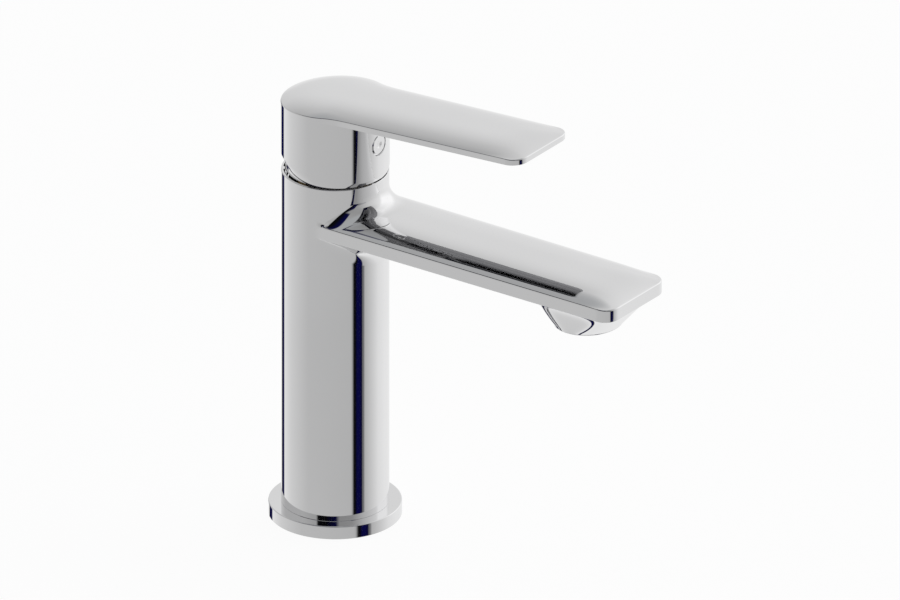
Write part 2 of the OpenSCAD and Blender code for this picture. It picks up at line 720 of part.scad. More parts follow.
body();
base_ring();
ring_o_ring();
foot_seal();
cartridge_housing();
cartridge_base();
port_seals();
disc_seals();
fixed_disc();
moving_disc();
disc_carrier();
stem_rotor();
pivot_pin();
stem();
slip_washer();
retaining_nut();
handle();
set_screw();
index_button();
aerator_housing();
aerator_seal();
flow_regulator();
aerator_screens();
aerator_grid();
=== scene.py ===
"""Looks of a single-lever basin mixer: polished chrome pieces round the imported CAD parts.

The body, the handle, the base ring and the index button are modelled here as closed shells in millimetres,
because chrome shows every facet. Everything else keeps its CAD node and gets a procedural material.
"""
import math
from dataclasses import dataclass

import bmesh
import bpy
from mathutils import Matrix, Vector
from mathutils.geometry import delaunay_2d_cdt


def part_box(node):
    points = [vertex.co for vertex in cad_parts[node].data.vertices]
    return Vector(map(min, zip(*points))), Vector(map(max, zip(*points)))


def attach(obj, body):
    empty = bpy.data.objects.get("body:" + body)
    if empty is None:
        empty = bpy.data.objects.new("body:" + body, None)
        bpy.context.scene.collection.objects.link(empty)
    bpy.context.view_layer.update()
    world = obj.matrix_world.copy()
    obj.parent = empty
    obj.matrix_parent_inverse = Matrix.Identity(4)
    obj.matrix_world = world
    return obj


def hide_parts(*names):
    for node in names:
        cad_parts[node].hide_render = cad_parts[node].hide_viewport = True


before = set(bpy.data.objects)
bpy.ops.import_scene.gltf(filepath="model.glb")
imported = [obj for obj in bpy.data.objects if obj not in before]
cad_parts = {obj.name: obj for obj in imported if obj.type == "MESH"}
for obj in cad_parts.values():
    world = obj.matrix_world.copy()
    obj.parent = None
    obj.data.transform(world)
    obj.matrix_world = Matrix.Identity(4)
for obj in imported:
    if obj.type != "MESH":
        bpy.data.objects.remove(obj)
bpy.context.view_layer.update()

MM = 0.001
SHARP = math.radians(24)  # faces that meet at less than this are shaded as one
FIT = 0.08  # gap round a piece that is pushed into a bore
THREAD_EDGE = 0.3  # plain edge before the first groove of a thread
SMALL_EDGE = 0.2  # edge of a turned face that isn't seen


def box_mm(node):
    """Lowest and highest corner of a CAD node, in millimetres."""
    low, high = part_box(node)
    return low / MM, high / MM


BODY_LOW, BODY_HIGH = box_mm("body")
HANDLE_LOW, HANDLE_HIGH = box_mm("handle")
BUTTON_LOW, BUTTON_HIGH = box_mm("index_button")
RING_HIGH = box_mm("base_ring")[1]
AERATOR_LOW, AERATOR_HIGH = box_mm("aerator_housing")

FAN = 24  # columns of a crowned top on each side of its middle
FAN_STEPS = [math.pi / 2 * k / FAN for k in range(-FAN, FAN + 1)]
FILLET_ROWS = 10
ARRIS_ROWS = 4  # of a slab's rounded edge
BAND_ROWS = 3  # of the upright band below it


# ---- closed shells

def from_above(point):
    return Vector((point.x, point.y))


def from_front(point):
    return Vector((point.y, point.z))


def unrolled(point):
    """A point near a wall round Z, laid out flat."""
    return Vector((math.atan2(point.y, point.x) * point.xy.length, point.z))


def inside(point, loop):
    """Whether a point lies inside a closed loop of flat points."""
    hits = 0
    for a, b in zip(loop, loop[1:] + loop[:1]):
        if (a.y > point.y) != (b.y > point.y):
            hits += point.x < a.x + (point.y - a.y) / (b.y - a.y) * (b.x - a.x)
    return hits % 2 == 1


class Shell:
    """Points, faces and the exact normals of one closed piece, in millimetres."""

    def __init__(self):
        self.points = []
        self.faces = []
        self.exact = {}
        self.under = set()

    def put(self, point, normal=None):
        """Adds a point and returns its number. Its faces are shaded with the normal, if there is one."""
        self.points.append(Vector(point))
        if normal is not None:
            self.exact[len(self.points) - 1] = Vector(normal).normalized()
        return len(self.points) - 1

    def line(self, points):
        return [self.put(p) for p in points]

    def strip(self, a, b, closed=False):
        """Quads between two rows of points of the same length."""
        last = len(a) if closed else len(a) - 1
        for i in range(last):
            j = (i + 1) % len(a)
            self.faces.append((a[i], a[j], b[j], b[i]))

    def rows(self, rows, closed=False):
        for a, b in zip(rows, rows[1:]):
            self.strip(a, b, closed)

    def flat(self, outer, holes=(), spread_out=from_above):
        """A face inside a loop of points and round its holes. spread_out lays a point out in a plane."""
        loops = [list(outer)] + [list(h) for h in holes]
        order = [i for loop in loops for i in loop]
        flat = [spread_out(self.points[i]) for i in order]
        edges = []
        for loop in loops:
            first = len(edges)
            edges += [(first + i, first + (i + 1) % len(loop)) for i in range(len(loop))]
        places, _, triangles, sources, _, _ = delaunay_2d_cdt(flat, edges, [], 1, 1e-7)
        rims = [[spread_out(self.points[i]) for i in hole] for hole in loops[1:]]
        for corners in triangles:
            middle = sum((places[i] for i in corners), Vector((0, 0))) / 3
            if not any(inside(middle, rim) for rim in rims):
                self.faces.append(tuple(order[sources[i][0]] for i in corners))

    def build(self, name, *materials):
        """The shell as an object in metres. The second material goes on the faces in self.under."""
        mesh = bpy.data.meshes.new(name)
        mesh.from_pydata([p * MM for p in self.points], [], self.faces)
        bm = bmesh.new()
        bm.from_mesh(mesh)
        bmesh.ops.recalc_face_normals(bm, faces=bm.faces)
        bm.to_mesh(mesh)
        bm.free()
        for each in materials:
            mesh.materials.append(each)
        for face in self.under:
            mesh.polygons[face].material_index = 1
        mesh.polygons.foreach_set("use_smooth", [True] * len(mesh.polygons))
        mesh.normals_split_custom_set(corner_normals(mesh, self.exact))
        piece = bpy.data.objects.new(name, mesh)
        bpy.context.scene.collection.objects.link(piece)
        return piece


def corner_normals(mesh, exact):
    """One normal per face corner: an area-weighted mean over the faces that meet within SHARP."""
    around = [[] for _ in mesh.vertices]
    for face in mesh.polygons:
        for v in face.vertices:
            around[v].append(face.index)
    normal = [f.normal.copy() for f in mesh.polygons]
    area = [f.area for f in mesh.polygons]
    limit = math.cos(SHARP)
    result = []
    for face in mesh.polygons:
        own = normal[face.index]
        for v in face.vertices:
            fixed = exact.get(v)
            if fixed is not None and fixed.dot(own) > limit:
                result.append(fixed)
                continue
            total = Vector((0, 0, 0))
            for other in around[v]:
                if normal[other].dot(own) > limit:
                    total += normal[other] * area[other]
            result.append(total.normalized() if total.length > 0 else own)
    return result


def smooth(t):
    """An S-shaped step from 0 to 1."""
    t = min(1.0, max(0.0, t))
    return t * t * (3 - 2 * t)


def mix(a, b, t):
    return a + (b - a) * t


def steps_round(count):
    """Equal angles all the way round."""
    return [math.tau * i / count for i in range(count)]


def polar(radius, angle, z):
    return radius * math.cos(angle), radius * math.sin(angle), z


def outward(angle):
    return math.cos(angle), math.sin(angle), 0


def quarter(count):
    """Angles that divide a right angle, without the first."""
    return [math.pi / 2 * (i + 1) / count for i in range(count)]


def spread(t):
    """Closer rows at both ends of a stretch."""
    return mix(t, smooth(t), 0.6)


# ---- crowned tops

@dataclass
class Plan:
    """A crowned top seen from above: straight sides, a rounded tip, and a pillow that falls to its edge."""

    reach: float
    half_w: float
    tip_half_w: float
    corner: float
    edge: float
    crown: float
    power: float
    run: float
    run_power: float

    def width(self, x):
        """Half width of the inset outline."""
        share = min(1.0, max(0.0, x / (self.reach - self.corner)))
        return mix(self.half_w, self.tip_half_w, share) - self.edge

    def end_x(self, y):
        """Where the inset tip lies at a distance y from the middle."""
        straight = self.tip_half_w - self.corner
        over = max(0.0, abs(y) - straight)
        radius = self.corner - self.edge
        return self.reach - self.corner + math.sqrt(max(0.0, radius * radius - over * over))

    def rise(self, x, y):
        """Height of the pillow above its edge."""
        side = min(1.0, abs(y) / self.width(x))
        to_tip = max(0.0, 1 - (self.end_x(y) - x) / self.run)
        return self.crown * (1 - side ** self.power) * (1 - to_tip ** self.run_power)


def arris(z_inset, down, slope, edge):
    """(outward, z) of a rounded edge, from the inset line to the upright band. down is 1, or -1 for up."""
    radius = edge / (1 - math.sin(slope))
    steps = []
    for j in range(1, ARRIS_ROWS + 1):
        angle = mix(slope, math.pi / 2, j / ARRIS_ROWS)
        out = radius * (math.sin(angle) - math.sin(slope))
        drop = radius * (math.cos(slope) - math.cos(angle))
        steps.append((out, z_inset - drop * down))
    return steps


def edge_profile(top_z, under_z, slope, edge):
    """(outward, z) of a slab's edge below its top inset line: arris, band, arris, lower inset line."""
    upper = arris(top_z, 1, slope, edge)
    lower = list(reversed(arris(under_z, -1, 0, edge)))
    band_top, band_low = upper[-1][1], lower[0][1]
    band = [(edge, mix(band_top, band_low, j / BAND_ROWS)) for j in range(1, BAND_ROWS)]
    return upper + band + lower + [(0.0, under_z)]


# ---- body

COLUMN_R = -BODY_LOW.x
SPOUT_REACH = BODY_HIGH.x
RIM_Z = BODY_HIGH.z
RIM_EDGE = 0.25
WALL_TOP_Z = RIM_Z - RIM_EDGE
RING_TOP_Z = RING_HIGH.z
FOOT_EDGE = 0.15
FOOT_Z = RING_TOP_Z + FOOT_EDGE
SPIGOT_R = 17.5  # the spigot below the column, which the base ring's O-ring sits on
SPIGOT_EDGE = 0.3
GROOVE_R = 16.15
GROOVE_TOP_Z = 4.55
GROOVE_LOW_Z = 2.75
# Threaded holes in the foot: radius, depth and depth of the grooves
INLET = (4.5, 12, 0.45)
STUD = (2.5, 14, 0.4)
INLET_TIP_R = 3.2
INLET_X, INLET_Y = 4, 8
STUD_X = -9.5
HOLE_POINTS = 32
HOLE_TIP = 0.4  # how far a blind hole's end runs to a point
RIM_WALL = 1.35  # wall beside the counterbore in the rim
RIM_INNER_EDGE = 0.5
NUT_ROOM = 0.6  # how far the nut's bore goes on below it
HOUSING_GAP = 0.16
PEG_LENGTH = 1.8  # how far the cartridge's pegs reach into its seat
UPPER_ROWS = 8  # of the column's wall above the spout
LOWER_ROWS = 12  # and below it
FADE_COLUMNS = 10  # of the wall beside the spout's root, on each side
BACK_COLUMNS = 84
SPOUT_UNDER_Z = 121.7
SPOUT_EDGE_Z = 126.9
SPOUT_EDGE = 0.3  # width of the rounded edges, seen from above
SPOUT_ROWS = 72
SPOUT_SETTLE = 50  # length over which the top's columns run over from the fillet to the sides
SPOUT = Plan(reach=SPOUT_REACH, half_w=COLUMN_R - 0.45, tip_half_w=19.1, corner=6, edge=SPOUT_EDGE,
             crown=3.6, power=4, run=26, run_power=3)
ROOT_ANGLE = math.radians(66)  # azimuth at which the spout's edge leaves the column
FADE_ANGLE = math.radians(84)  # azimuth at which it has run out in the wall
EDGE_SLOPE = math.radians(36)  # slope of the pillow where it meets the edge
TOP_FILLET = 7.3  # height of the fillets at the middle, and where they would end
TOP_FILLET_END = math.radians(72)
UNDER_FILLET = 13.5
UNDER_FILLET_END = math.radians(76)
UNDER_FILLET_REACH = 1.4  # how far the lower fillet reaches, for its height
UNDER_FILLET_INSET = 0.4  # how far it stays inside the spout's lower edge
FADE_UP = 2.6  # how far the running-out edge spreads above the spout's edge
FADE_DOWN = 4.0  # and below its underside
FADE_POWER = 2.3
FADE_SOFTENS = 1.5  # how much sooner it turns soft than it ends
SWELL_TOP = 3.2  # heights over which its soft swelling rises at the top and below
SWELL_LOW = 4.6
MIDDLE_SIDE = 0.2  # up to this sine of an azimuth, a fillet can't reach the side
PROFILE = edge_profile(SPOUT_EDGE_Z, SPOUT_UNDER_Z, EDGE_SLOPE, SPOUT_EDGE)


def top_fillet(angle):
    """How far the upper fillet reaches out of the wall and rises up it, at an azimuth."""
    up = TOP_FILLET * (1 - (angle / TOP_FILLET_END) ** 2)
    return min(up, root_ledge(angle)), up


def under_fillet(angle):
    """The same for the lower fillet, whose rise is negative."""
    down = UNDER_FILLET * (1 - (angle / UNDER_FILLET_END) ** 2)
    inset = UNDER_FILLET_INSET * (1 - angle / ROOT_ANGLE)
    return min(UNDER_FILLET_REACH * down, root_ledge(angle) - inset), -down


def root_ledge(angle):
    """Distance from the wall to the spout's inset side, along an azimuth."""
    side = abs(math.sin(angle))
    if side < MIDDLE_SIDE:
        return math.inf
    radius = SPOUT.width(COLUMN_R) / side
    for _ in range(4):
        radius = SPOUT.width(radius * math.cos(angle)) / side
    return radius - COLUMN_R


def plan_side(plan, x, y):
    """Outward direction of a plan's outline at an inset point."""
    straight = plan.tip_half_w - plan.corner
    if x > plan.reach - plan.corner:
        if abs(y) <= straight:
            return 1.0, 0.0
        out = Vector((x - plan.reach + plan.corner, abs(y) - straight)).normalized()
        return out.x, math.copysign(out.y, y)
    return 0.0, math.copysign(1.0, y)


def spout_top(shell, first_row):
    """The grid of the spout's top, from the end of the fillet to the tip. Returns its rows."""
    rows = []
    for i in range(1, SPOUT_ROWS + 1):
        row = []
        for first, step in zip(first_row, FAN_STEPS):
            start = shell.points[first]
            share = math.sin(step)
            end_y = share * SPOUT.width(SPOUT_REACH)
            x = mix(start.x, SPOUT.end_x(end_y), spread(i / SPOUT_ROWS))
            first_share = start.y / SPOUT.width(start.x)
            y = mix(first_share, share, smooth((x - start.x) / SPOUT_SETTLE)) * SPOUT.width(x)
            if i == SPOUT_ROWS:
                y = end_y
            row.append(shell.put((x, y, face_z(x, y))))
        rows.append(row)
    return rows


def face_z(x, y):
    """Height of the spout's top."""
    return SPOUT_EDGE_Z + SPOUT.rise(x, y)


def under_z(x, y):
    """Height of the spout's flat underside."""
    return SPOUT_UNDER_Z


def wall_run(shell, angle, z_from, z_to, count, rows=None):
    """Points straight down the column's wall, in every row from 0 to count or in some of them."""
    rows = range(count + 1) if rows is None else rows
    return [shell.put(polar(COLUMN_R, angle, mix(z_from, z_to, i / count)), outward(angle)) for i in rows]


def fillet_points(angle, fillet, z_at):
    """Points from the wall along a fillet, at an azimuth. z_at gives the height of the face it runs into."""
    reach, rise = fillet(abs(angle))
    points = []
    for j in range(FILLET_ROWS + 1):
        turn = math.pi / 2 * j / FILLET_ROWS
        x, y, _ = polar(COLUMN_R + reach * (1 - math.cos(turn)), angle, 0)
        points.append((x, y, z_at(x, y) + rise * (1 - math.sin(turn))))
    return points


def root_profile(angle):
    """Points from the upper fillet's start down to the lower one's end, where the spout's edge leaves."""
    upper = fillet_points(angle, top_fillet, lambda x, y: SPOUT_EDGE_Z)
    lower = fillet_points(angle, under_fillet, under_z)
    x, y, _ = upper[-1]
    side = math.copysign(1.0, angle)
    edge = [(x, y + side * out, z) for out, z in PROFILE[:-1]]
    return upper + edge + list(reversed(lower))


def fade_profile(angle_sign, share):
    """The root profile as it runs out in the wall: share 0 is the root, 1 the bare wall."""
    root = root_profile(angle_sign * ROOT_ANGLE)
    count = len(root) - 1
    soft = smooth(FADE_SOFTENS * share)
    fade = (1 - share) ** FADE_POWER
    z_top = SPOUT_EDGE_Z + FADE_UP
    z_low = SPOUT_UNDER_Z - FADE_DOWN
    proud = math.hypot(*root[FILLET_ROWS + ARRIS_ROWS][:2]) - COLUMN_R
    points = []
    for j, (x, y, z) in enumerate(root):
        plain_z = mix(z_top, z_low, j / count)
        soft_z = mix(z, plain_z, soft)
        sharp_out = math.hypot(x, y) - COLUMN_R
        swell = smooth((z_top - plain_z) / SWELL_TOP) * smooth((plain_z - z_low) / SWELL_LOW)
        out = fade * mix(sharp_out, proud * swell, soft)
        angle = mix(abs(math.atan2(y, x)), FADE_ANGLE, share)
        points.append(polar(COLUMN_R + out, angle_sign * angle, soft_z))
    return points


def full_column(shell, angle, profile, bare):
    """A column of points from the rim to the foot through a profile."""
    upper = wall_run(shell, angle, WALL_TOP_Z, profile[0][2], UPPER_ROWS, range(UPPER_ROWS))
    middle = []
    for j, point in enumerate(profile):
        on_wall = bare or j in (0, len(profile) - 1)
        middle.append(shell.put(point, outward(angle) if on_wall else None))
    lower = wall_run(shell, angle, profile[-1][2], FOOT_Z, LOWER_ROWS, range(1, LOWER_ROWS + 1))
    return upper + middle + lower


def column_wall(shell):
    """The column's wall with the opening that the spout grows from.

    Returns the top ring, the foot ring and their azimuths, the root columns on the -Y and the +Y side, the
    runs above and below the opening, and the azimuths of the opening's columns.
    """
    front_angles = [ROOT_ANGLE * step / (math.pi / 2) for step in FAN_STEPS]
    uppers, lowers = [], []
    for angle in front_angles[1:-1]:
        top_start = fillet_points(angle, top_fillet, face_z)[0]
        low_start = fillet_points(angle, under_fillet, under_z)[0]
        uppers.append(wall_run(shell, angle, WALL_TOP_Z, top_start[2], UPPER_ROWS))
        lowers.append(wall_run(shell, angle, low_start[2], FOOT_Z, LOWER_ROWS))
    columns = []
    for sign in (1, -1):
        side = [full_column(shell, sign * ROOT_ANGLE, root_profile(sign * ROOT_ANGLE), False)]
        for m in range(1, FADE_COLUMNS + 1):
            share = m / FADE_COLUMNS
            angle = sign * mix(ROOT_ANGLE, FADE_ANGLE, share)
            side.append(full_column(shell, angle, fade_profile(sign, share), m == FADE_COLUMNS))
        columns.append(side)
    back = []
    heights = [z for _, _, z in fade_profile(1, 1)]
    for m in range(1, BACK_COLUMNS):
        angle = mix(FADE_ANGLE, math.tau - FADE_ANGLE, m / BACK_COLUMNS)
        back.append(full_column(shell, angle, [polar(COLUMN_R, angle, z) for z in heights], True))
    ring = columns[0] + back + list(reversed(columns[1]))
    shell.rows(ring)
    right, left = columns[0][0], columns[1][0]
    cut = UPPER_ROWS + 1
    tail = LOWER_ROWS + 1
    shell.rows([left[:cut]] + uppers + [right[:cut]])
    shell.rows([left[-tail:]] + lowers + [right[-tail:]])
    top_ring = [left[0]] + [c[0] for c in uppers] + [c[0] for c in ring[:-1]]
    foot_ring = [left[-1]] + [c[-1] for c in lowers] + [c[-1] for c in ring[:-1]]
    angles = [math.atan2(shell.points[i].y, shell.points[i].x) for i in top_ring]
    return top_ring, foot_ring, angles, left, right, uppers, lowers, front_angles


def rings_from(shell, first, angles, stations):
    """Closed rings that carry on from a ring, at (radius, z, sign) stations. Returns the last one.

    The sign says whether the exact normal points out (1) or in (-1). With 0 there is none.
    """
    rings = [first]
    for radius, z, sign in stations:
        ring = []
        for angle in angles:
            normal = Vector(outward(angle)) * sign if sign else None
            ring.append(shell.put(polar(radius, angle, z), normal))
        rings.append(ring)
    shell.rows(rings, closed=True)
    return rings[-1]


def thread_stations(radius, depth, groove):
    """(radius, z) stations of a threaded hole in the foot, with plain grooves 1 mm apart."""
    low, high = BODY_LOW.z + THREAD_EDGE, BODY_LOW.z + depth
    count = round(high - low)
    stations = [(radius + SMALL_EDGE, BODY_LOW.z)]
    for i in range(count):
        stations.append((radius, mix(low, high, i / count)))
        stations.append((radius + groove, mix(low, high, (i + 0.5) / count)))
    return stations + [(radius, high)]


def hole(shell, x, y, stations):
    """A blind round hole up into the foot, at (radius, z) stations. Returns its mouth's ring."""
    angles = steps_round(HOLE_POINTS)
    rings = []
    for radius, z in stations:
        rings.append([shell.put((x + radius * math.cos(a), y + radius * math.sin(a), z)) for a in angles])
    shell.rows(rings, closed=True)
    last = rings[-1]
    tip = shell.put((x, y, stations[-1][1] + HOLE_TIP))
    for i in range(HOLE_POINTS):
        shell.faces.append((last[i], last[(i + 1) % HOLE_POINTS], tip))
    return rings[0]


def column_inside(shell, top_ring, angles):
    """Rounded rim, counterbore and the stepped chamber down to the cartridge's seat."""
    nut_low, nut_high = box_mm("retaining_nut")
    nut_bore = nut_high.y + FIT
    nut_end = nut_low.z - NUT_ROOM
    housing_bore = box_mm("cartridge_housing")[1].y + HOUSING_GAP
    seat = box_mm("cartridge_base")[0].z + PEG_LENGTH
    bore = COLUMN_R - RIM_WALL
    edge = [(COLUMN_R - RIM_EDGE * (1 - math.cos(a)), WALL_TOP_Z + RIM_EDGE * math.sin(a), 0)
            for a in quarter(4)]
    stations = edge + [
        (bore + RIM_INNER_EDGE, RIM_Z, 0), (bore, RIM_Z - RIM_INNER_EDGE, 0), (bore, nut_high.z, 0),
        (nut_bore, nut_high.z, 0), (nut_bore, nut_end, 0), (housing_bore, nut_end, 0),
        (housing_bore, seat, 0)]
    shell.flat(rings_from(shell, top_ring, angles, stations))


def column_foot(shell, foot_ring, angles):
    """Foot edge, spigot with its groove, and the underside with two inlets and the stud's hole."""
    base = BODY_LOW.z
    stations = [
        (COLUMN_R - FOOT_EDGE, RING_TOP_Z, 0), (SPIGOT_R, RING_TOP_Z, 0), (SPIGOT_R, GROOVE_TOP_Z, 0),
        (GROOVE_R, GROOVE_TOP_Z, 0), (GROOVE_R, GROOVE_LOW_Z, 0), (SPIGOT_R, GROOVE_LOW_Z, 0),
        (SPIGOT_R, base + SPIGOT_EDGE, 0), (SPIGOT_R - SPIGOT_EDGE, base, 0)]
    last = rings_from(shell, foot_ring, angles, stations)
    inlet = thread_stations(*INLET) + [(INLET_TIP_R, base + INLET[1] + 1)]
    holes = [hole(shell, INLET_X, side * INLET_Y, inlet) for side in (-1, 1)]
    holes.append(hole(shell, STUD_X, 0, thread_stations(*STUD)))
    shell.flat(last, holes)


NOZZLE_X = (AERATOR_LOW.x + AERATOR_HIGH.x) / 2
NOZZLE_Z = AERATOR_LOW.z - 0.3
NOZZLE_LIP = 0.5  # radius of the rounded lip
NOZZLE_BORE_DEPTH = 10.6
NOZZLE_POINTS = 96
NOZZLE_ROWS = 22
NOZZLE_CROWDING = 1.8  # moves the rows closer together towards the spout
FLARE = 0.14  # share of the widening that comes at the very top, and how suddenly
FLARE_POWER = 6
ROOT_REAR_X = 100.5
ROOT_FRONT_X = 138.3
# Superellipses that the nozzle runs between: centre, half length, half width and power
NOZZLE_MOUTH = (NOZZLE_X, 12.9, 13.9, 2.0)
NOZZLE_ROOT = ((ROOT_REAR_X + ROOT_FRONT_X) / 2, (ROOT_FRONT_X - ROOT_REAR_X) / 2, 18.6, 5.0)


def super_ring(shell, z, centre, half_l, half_w, power):
    """A level ring of points on a superellipse."""
    ring = []
    for angle in steps_round(NOZZLE_POINTS):
        c, s = math.cos(angle), math.sin(angle)
        x = centre + half_l * math.copysign(abs(c) ** (2 / power), c)
        ring.append(shell.put((x, half_w * math.copysign(abs(s) ** (2 / power), s), z)))
    return ring


def nozzle(shell):
    """The nozzle's flared skirt, its mouth and the aerator's bore. Returns its ring in the underside."""
    rings = []
    for j in range(NOZZLE_ROWS + 1):
        u = 1 - (j / NOZZLE_ROWS) ** NOZZLE_CROWDING
        grow = (1 - FLARE) * u + FLARE * u ** FLARE_POWER
        sizes = [mix(a, b, grow) for a, b in zip(NOZZLE_MOUTH, NOZZLE_ROOT)]
        rings.append(super_ring(shell, mix(NOZZLE_Z + NOZZLE_LIP, SPOUT_UNDER_Z, u), *sizes))
    centre, half_l, half_w, power = NOZZLE_MOUTH
    for angle in quarter(5):
        inset = NOZZLE_LIP * (1 - math.cos(angle))
        z = NOZZLE_Z + NOZZLE_LIP * (1 - math.sin(angle))
        rings.append(super_ring(shell, z, centre, half_l - inset, half_w - inset, power))
    bore = AERATOR_HIGH.y + FIT
    top = NOZZLE_Z + NOZZLE_BORE_DEPTH
    for radius, z in [(bore + SMALL_EDGE, NOZZLE_Z), (bore, NOZZLE_Z + SMALL_EDGE), (bore, top)]:
        rings.append(super_ring(shell, z, NOZZLE_X, radius, radius, 2.0))
    shell.rows(rings, closed=True)
    shell.flat(rings[-1])
    return rings[0]


def spout_edge(shell, outline, left, right):
    """The spout's edge below its top's outline, between the root columns. Returns its lower inset line."""
    first = UPPER_ROWS + FILLET_ROWS
    last = first + len(PROFILE) + 1
    columns = [left[first:last]]
    for index in outline[1:-1]:
        point = shell.points[index]
        out_x, out_y = plan_side(SPOUT, point.x, point.y)
        below = [(point.x + out_x * out, point.y + out_y * out, z) for out, z in PROFILE]
        columns.append([index] + shell.line(below))
    columns.append(right[first:last])
    shell.rows(columns)
    return [column[-1] for column in columns]


def body_shell():
    """The body's casting: the column with its chamber and foot, the spout and the nozzle."""
    shell = Shell()
    top_ring, foot_ring, angles, left, right, uppers, lowers, front = column_wall(shell)
    column_inside(shell, top_ring, angles)
    column_foot(shell, foot_ring, angles)

    over = [[left[UPPER_ROWS]] + [c[-1] for c in uppers] + [right[UPPER_ROWS]]]
    under = [[left[-LOWER_ROWS - 1]] + [c[0] for c in lowers] + [right[-LOWER_ROWS - 1]]]
    for j in range(1, FILLET_ROWS + 1):
        inner_over = [shell.put(fillet_points(a, top_fillet, face_z)[j]) for a in front[1:-1]]
        inner_under = [shell.put(fillet_points(a, under_fillet, under_z)[j]) for a in front[1:-1]]
        over.append([left[UPPER_ROWS + j]] + inner_over + [right[UPPER_ROWS + j]])
        under.append([left[-LOWER_ROWS - 1 - j]] + inner_under + [right[-LOWER_ROWS - 1 - j]])
    over += spout_top(shell, over[-1])
    shell.rows(over)
    shell.rows(under)

    side_rows = over[FILLET_ROWS:]
    outline = [row[0] for row in side_rows] + side_rows[-1][1:-1] + [row[-1] for row in reversed(side_rows)]
    underside = spout_edge(shell, outline, left, right) + list(reversed(under[-1][1:-1]))
    shell.flat(underside, [nozzle(shell)])
    return shell


# ---- handle

HEAD_R = -HANDLE_LOW.x
LEVER_REACH = HANDLE_HIGH.x
LEVER_EDGE_Z = 171.1  # height of the lever's upper edge at the axis
LEVER_RISE = 0.06  # how much that edge climbs per millimetre towards the tip
LEVER_EDGE_T = 2.35
LEVER_EDGE = 0.3
LEAVE_X = 6.5  # where the lever's side leaves the head's circle
JOIN_X = 17.4  # where it has become straight
LEAVE_ANGLE = math.acos(LEAVE_X / (HEAD_R - LEVER_EDGE))
NEAR = 1e-6  # less than any real distance between two points
REAR_SPOKES = 72  # of the head's top behind the axis
HEAD_COLUMNS = 4  # of the lever's top from the axis to LEAVE_X
JOIN_COLUMNS = 10  # and from there to JOIN_X
LEVER_ROWS = 48  # and from there to the tip
NECK_R = 18.6
NECK_WALL = 2
NECK_LOW_Z = HANDLE_LOW.z
NECK_LEAST = 0.3  # what the chamfer leaves of the neck at the rear
SKIRT_Z = 147.0  # lower edge of the head's wall, at the axis
SKIRT_FALL = 0.158
CHAMFER_Z = 142.6  # where the chamfer meets the neck, at the axis
CHAMFER_FALL = 0.2
CHAMFER_REAR = 0.5  # how much the chamfer leans inwards per millimetre of its height
CHAMFER_FRONT = 0.28
CHAMFER_RUN = 26  # length from the neck's rear over which it turns steeper
CEILING_Z = 153.5
CEILING_CLIMB = 0.45  # how much it climbs towards the rear, which comes down when the lever lifts
SOCKET_HALF_W = 3.58
SOCKET_TOP_Z = 166.3
SCREW_HOLE_R = 2.5
BUTTON_Z = (BUTTON_LOW.z + BUTTON_HIGH.z) / 2
BUTTON_HOLE_R = BUTTON_HIGH.y + FIT
BUTTON_SEAT_X = HEAD_R - 3.4
BUTTON_RIM_DEPTH = 0.45  # the sloping rim round the button's face
BUTTON_RIM_W = 0.75
PEG_GAP = 0.3
DISH_R = 1.5  # the dish in the button's face
DISH_DEPTH = 0.4
DISH_ROWS = 6
BUTTON_POINTS = 48
PILLOW_SLOPE = math.radians(27)
HEAD_ROWS = 10  # of the head's wall
HEAD_FRONT = 36  # columns of its stretch under the lever
PANEL_TOP = 3  # the rows between which that stretch is left open round the button
PANEL_LOW = 7
PANEL_SIDE = 4  # and how many columns on each side of its middle


class LeverPlan(Plan):
    """The head's circle, which runs into the lever's straight sides."""

    def width(self, x):
        """Half width of the inset outline: circle, a cubic that joins them, straight sides."""
        radius = HEAD_R - self.edge
        if x <= LEAVE_X:
            return math.sqrt(max(0.0, radius * radius - x * x))
        if x >= JOIN_X:
            return super().width(x)
        start = math.sqrt(radius * radius - LEAVE_X * LEAVE_X)
        span = JOIN_X - LEAVE_X
        t = (x - LEAVE_X) / span
        start_slope = -LEAVE_X / start * span
        end_slope = (self.tip_half_w - self.half_w) / (self.reach - self.corner) * span
        return ((1 + 2 * t) * (1 - t) ** 2 * start + t * (1 - t) ** 2 * start_slope
                + t * t * (3 - 2 * t) * super().width(JOIN_X) + t * t * (t - 1) * end_slope)

    def rise(self, x, y):
        if x >= 0:
            return super().rise(x, y)
        side = min(1.0, math.hypot(x, y) / (HEAD_R - self.edge))
        return self.crown * (1 - side ** self.power)

    def outward(self, x, y):
        """Outward direction of the outline at an inset point."""
        if x < JOIN_X and abs(y) > NEAR:
            step = 0.01
            fall = (self.width(x) - self.width(x - step)) / step
            out = Vector((-fall, math.copysign(1.0, y))).normalized()
            if x <= LEAVE_X:
                out = Vector((x, y)).normalized()
            return out.x, out.y
        if x < 0:
            return -1.0, 0.0
        return plan_side(self, x, y)


LEVER = LeverPlan(reach=LEVER_REACH, half_w=18.1, tip_half_w=17.3, corner=6, edge=LEVER_EDGE,
                  crown=2.6, power=3.5, run=22, run_power=3)


def lever_edge_z(x):
    return LEVER_EDGE_Z + LEVER_RISE * x


